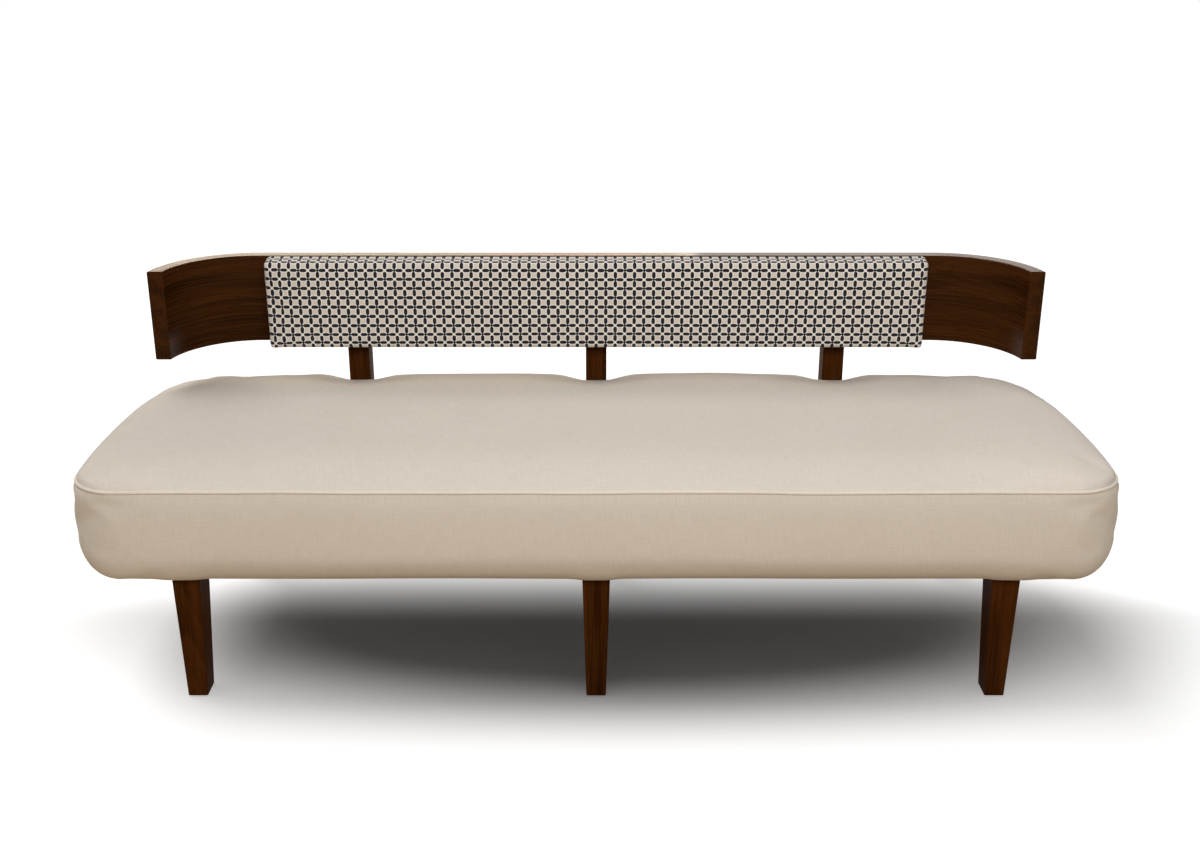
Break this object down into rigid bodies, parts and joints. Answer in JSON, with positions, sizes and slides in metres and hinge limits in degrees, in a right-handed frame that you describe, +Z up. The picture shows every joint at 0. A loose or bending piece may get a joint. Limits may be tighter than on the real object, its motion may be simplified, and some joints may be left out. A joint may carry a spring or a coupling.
{
  "type": "settee bench",
  "caption": "Long upholstered settee bench with a boxed and piped seat, tapered square legs and a low bent-wood back rail that carries a patterned pad.",
  "frame": {"origin": "on the floor, under the middle of the seat", "axes": "+X to the right as seen from the front, -Y to the front, +Z up"},
  "size_m": [1.849, 0.659, 0.704],
  "materials": {
    "linen": "plain-woven linen, matte",
    "patterned_fabric": "woven lattice of dark ovals on cream, matte",
    "stained_wood": "dark walnut stain, satin lacquer",
    "frame_wood": "raw hardwood",
    "foam": "open-cell foam",
    "webbing": "jute webbing",
    "deck_cloth": "plain cloth",
    "dust_cloth": "black bonded cloth",
    "zinc_steel": "zinc plated",
    "glide_felt": "pressed felt"
  },
  "bodies": {
    "root": {"front_rail": "frame_wood", "rear_rail": "frame_wood", "left_end_rail": "frame_wood", "right_end_rail": "frame_wood", "leg_bearer_left": "frame_wood", "leg_bearer_centre": "frame_wood", "leg_bearer_right": "frame_wood", "corner_blocks": "frame_wood", "cross_webbing": "webbing", "long_webbing": "webbing", "deck_cloth": "deck_cloth", "seat_top_cover": "linen", "seat_boxing": "linen", "seat_piping": "linen", "dust_cover": "dust_cloth", "seat_foam": "foam", "edge_padding": "foam", "front_leg_left": "stained_wood", "front_leg_centre": "stained_wood", "front_leg_right": "stained_wood", "rear_leg_left": "stained_wood", "rear_leg_centre": "stained_wood", "rear_leg_right": "stained_wood", "glides": "glide_felt", "back_post_left": "stained_wood", "back_post_centre": "stained_wood", "back_post_right": "stained_wood", "post_bolts": "zinc_steel", "post_nuts": "zinc_steel", "back_rail": "stained_wood", "pad_cover": "patterned_fabric", "pad_foam": "foam", "pad_board": "frame_wood", "pad_tongue": "frame_wood"}
  },
  "joints": []
}
